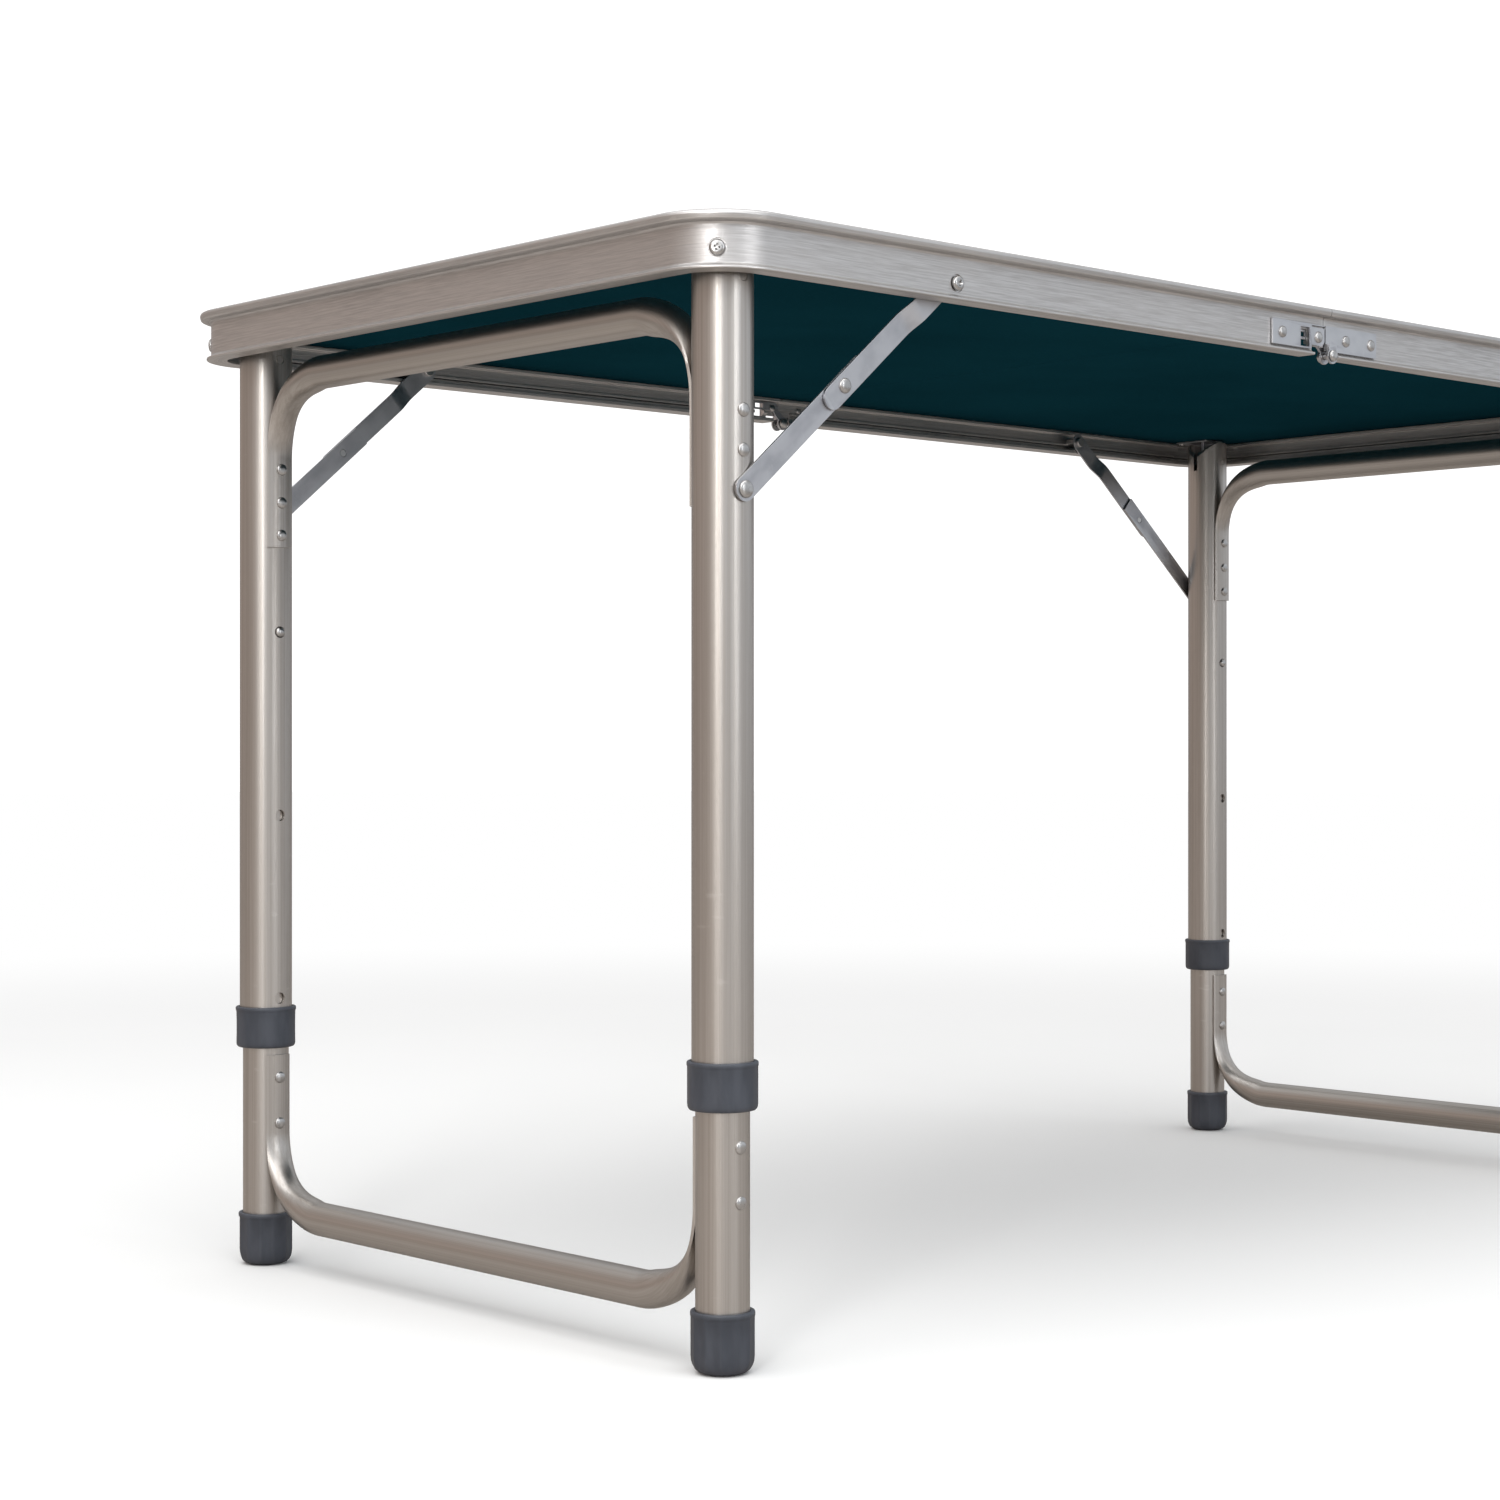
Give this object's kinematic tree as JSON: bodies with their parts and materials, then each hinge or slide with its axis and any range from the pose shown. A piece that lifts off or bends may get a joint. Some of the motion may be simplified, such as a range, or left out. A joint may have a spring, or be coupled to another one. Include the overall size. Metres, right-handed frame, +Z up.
{
  "type": "folding picnic table",
  "caption": "Rectangular two-leaf picnic table with an aluminium edge, fold-in leg frames on straight-locking stays, and telescoping lower legs with plastic feet.",
  "frame": {"origin": "centre of the table on the ground plane, under the seam", "axes": "+X along the length, +Y across the width, +Z up"},
  "size_m": [1.2002, 0.6002, 0.6986],
  "materials": {
    "top_laminate": "satin dark teal laminate",
    "edge_aluminium": "brushed, clear anodised",
    "leg_aluminium": "brushed tube, warm anodised",
    "zinc_steel": "zinc plated pressing",
    "plated_screw": "bright plated",
    "slate_plastic": "moulded, fine grain"
  },
  "bodies": {
    "left_half": {"left_panel": "top_laminate", "left_edge_frame": "edge_aluminium", "left_front_hinge": "zinc_steel", "left_back_hinge": "zinc_steel", "front_hinge_pin": "plated_screw", "back_hinge_pin": "plated_screw", "left_front_leg_bracket": "zinc_steel", "left_front_stay_screw": "plated_screw", "left_back_leg_bracket": "zinc_steel", "left_back_stay_screw": "plated_screw"},
    "right_half": {"right_panel": "top_laminate", "right_edge_frame": "edge_aluminium", "right_front_hinge": "zinc_steel", "right_back_hinge": "zinc_steel", "right_front_leg_bracket": "zinc_steel", "right_front_stay_screw": "plated_screw", "right_back_leg_bracket": "zinc_steel", "right_back_stay_screw": "plated_screw"},
    "left_leg_frame": {"left_upper_brace": "leg_aluminium", "left_front_upper_leg": "leg_aluminium", "left_front_sleeve": "slate_plastic", "left_front_pivot_pin": "plated_screw", "left_back_upper_leg": "leg_aluminium", "left_back_sleeve": "slate_plastic", "left_back_pivot_pin": "plated_screw"},
    "left_lower_frame": {"left_lower_brace": "leg_aluminium", "left_front_lower_leg": "leg_aluminium", "left_front_foot": "slate_plastic", "left_back_lower_leg": "leg_aluminium", "left_back_foot": "slate_plastic"},
    "left_front_snap_button": {"left_front_snap_button": "plated_screw"},
    "left_front_lower_link": {"left_front_lower_link": "zinc_steel"},
    "left_front_upper_link": {"left_front_upper_link": "zinc_steel"},
    "left_back_snap_button": {"left_back_snap_button": "plated_screw"},
    "left_back_lower_link": {"left_back_lower_link": "zinc_steel"},
    "left_back_upper_link": {"left_back_upper_link": "zinc_steel"},
    "right_leg_frame": {"right_upper_brace": "leg_aluminium", "right_front_upper_leg": "leg_aluminium", "right_front_sleeve": "slate_plastic", "right_front_pivot_pin": "plated_screw", "right_back_upper_leg": "leg_aluminium", "right_back_sleeve": "slate_plastic", "right_back_pivot_pin": "plated_screw"},
    "right_lower_frame": {"right_lower_brace": "leg_aluminium", "right_front_lower_leg": "leg_aluminium", "right_front_foot": "slate_plastic", "right_back_lower_leg": "leg_aluminium", "right_back_foot": "slate_plastic"},
    "right_front_snap_button": {"right_front_snap_button": "plated_screw"},
    "right_front_lower_link": {"right_front_lower_link": "zinc_steel"},
    "right_front_upper_link": {"right_front_upper_link": "zinc_steel"},
    "right_back_snap_button": {"right_back_snap_button": "plated_screw"},
    "right_back_lower_link": {"right_back_lower_link": "zinc_steel"},
    "right_back_upper_link": {"right_back_upper_link": "zinc_steel"}
  },
  "joints": [
    {"name": "middle_fold", "type": "hinge", "parent": "left_half", "child": "right_half", "pos_m": [0.0046, 0, 0.6646], "axis": [0, -1, 0], "range_deg": [-55, 0]},
    {"name": "left_leg_fold", "type": "hinge", "parent": "left_half", "child": "left_leg_frame", "pos_m": [-0.551, 0, 0.664], "axis": [0, -1, 0], "range_deg": [0, 90]},
    {"name": "left_leg_extend", "type": "slide", "parent": "left_leg_frame", "child": "left_lower_frame", "axis": [0, 0, 1], "range_m": [-0.2684, 0], "deforming": ["left_front_snap_button", "left_back_snap_button"]},
    {"name": "left_front_button_press", "type": "slide", "parent": "left_lower_frame", "child": "left_front_snap_button", "axis": [0, -1, 0], "range_m": [0, 0.0046], "stiffness_N_per_m": 1500},
    {"name": "left_front_lower_link_swing", "type": "hinge", "parent": "left_leg_frame", "child": "left_front_lower_link", "pos_m": [-0.551, -0.2727, 0.5352], "axis": [0, -1, 0], "range_deg": [-198.19, 0]},
    {"name": "left_front_upper_link_swing", "type": "hinge", "parent": "left_half", "child": "left_front_upper_link", "pos_m": [-0.386, -0.2786, 0.675], "axis": [0, -1, 0], "range_deg": [0, 53.7]},
    {"name": "left_back_button_press", "type": "slide", "parent": "left_lower_frame", "child": "left_back_snap_button", "axis": [0, 1, 0], "range_m": [0, 0.0046], "stiffness_N_per_m": 1500},
    {"name": "left_back_lower_link_swing", "type": "hinge", "parent": "left_leg_frame", "child": "left_back_lower_link", "pos_m": [-0.551, 0.2727, 0.5352], "axis": [0, -1, 0], "range_deg": [-198.19, 0]},
    {"name": "left_back_upper_link_swing", "type": "hinge", "parent": "left_half", "child": "left_back_upper_link", "pos_m": [-0.386, 0.2786, 0.675], "axis": [0, -1, 0], "range_deg": [0, 53.7]},
    {"name": "right_leg_fold", "type": "hinge", "parent": "right_half", "child": "right_leg_frame", "pos_m": [0.551, 0, 0.664], "axis": [0, 1, 0], "range_deg": [0, 83]},
    {"name": "right_leg_extend", "type": "slide", "parent": "right_leg_frame", "child": "right_lower_frame", "axis": [0, 0, 1], "range_m": [-0.2684, 0], "deforming": ["right_front_snap_button", "right_back_snap_button"]},
    {"name": "right_front_button_press", "type": "slide", "parent": "right_lower_frame", "child": "right_front_snap_button", "axis": [0, -1, 0], "range_m": [0, 0.0046], "stiffness_N_per_m": 1500},
    {"name": "right_front_lower_link_swing", "type": "hinge", "parent": "right_leg_frame", "child": "right_front_lower_link", "pos_m": [0.551, -0.2727, 0.5352], "axis": [0, 1, 0], "range_deg": [-169.56, 0]},
    {"name": "right_front_upper_link_swing", "type": "hinge", "parent": "right_half", "child": "right_front_upper_link", "pos_m": [0.386, -0.2786, 0.675], "axis": [0, 1, 0], "range_deg": [0, 71.05]},
    {"name": "right_back_button_press", "type": "slide", "parent": "right_lower_frame", "child": "right_back_snap_button", "axis": [0, 1, 0], "range_m": [0, 0.0046], "stiffness_N_per_m": 1500},
    {"name": "right_back_lower_link_swing", "type": "hinge", "parent": "right_leg_frame", "child": "right_back_lower_link", "pos_m": [0.551, 0.2727, 0.5352], "axis": [0, 1, 0], "range_deg": [-169.56, 0]},
    {"name": "right_back_upper_link_swing", "type": "hinge", "parent": "right_half", "child": "right_back_upper_link", "pos_m": [0.386, 0.2786, 0.675], "axis": [0, 1, 0], "range_deg": [0, 71.05]}
  ],
  "couplings": [
    {"joint": "left_front_lower_link_swing", "follows": "left_leg_fold", "ratio": -2.191},
    {"joint": "left_front_upper_link_swing", "follows": "left_leg_fold", "ratio": 0.5856},
    {"joint": "left_back_lower_link_swing", "follows": "left_leg_fold", "ratio": -2.191},
    {"joint": "left_back_upper_link_swing", "follows": "left_leg_fold", "ratio": 0.5856},
    {"joint": "right_front_lower_link_swing", "follows": "right_leg_fold", "ratio": -2.0309},
    {"joint": "right_front_upper_link_swing", "follows": "right_leg_fold", "ratio": 0.84394},
    {"joint": "right_back_lower_link_swing", "follows": "right_leg_fold", "ratio": -2.0309},
    {"joint": "right_back_upper_link_swing", "follows": "right_leg_fold", "ratio": 0.84394}
  ]
}
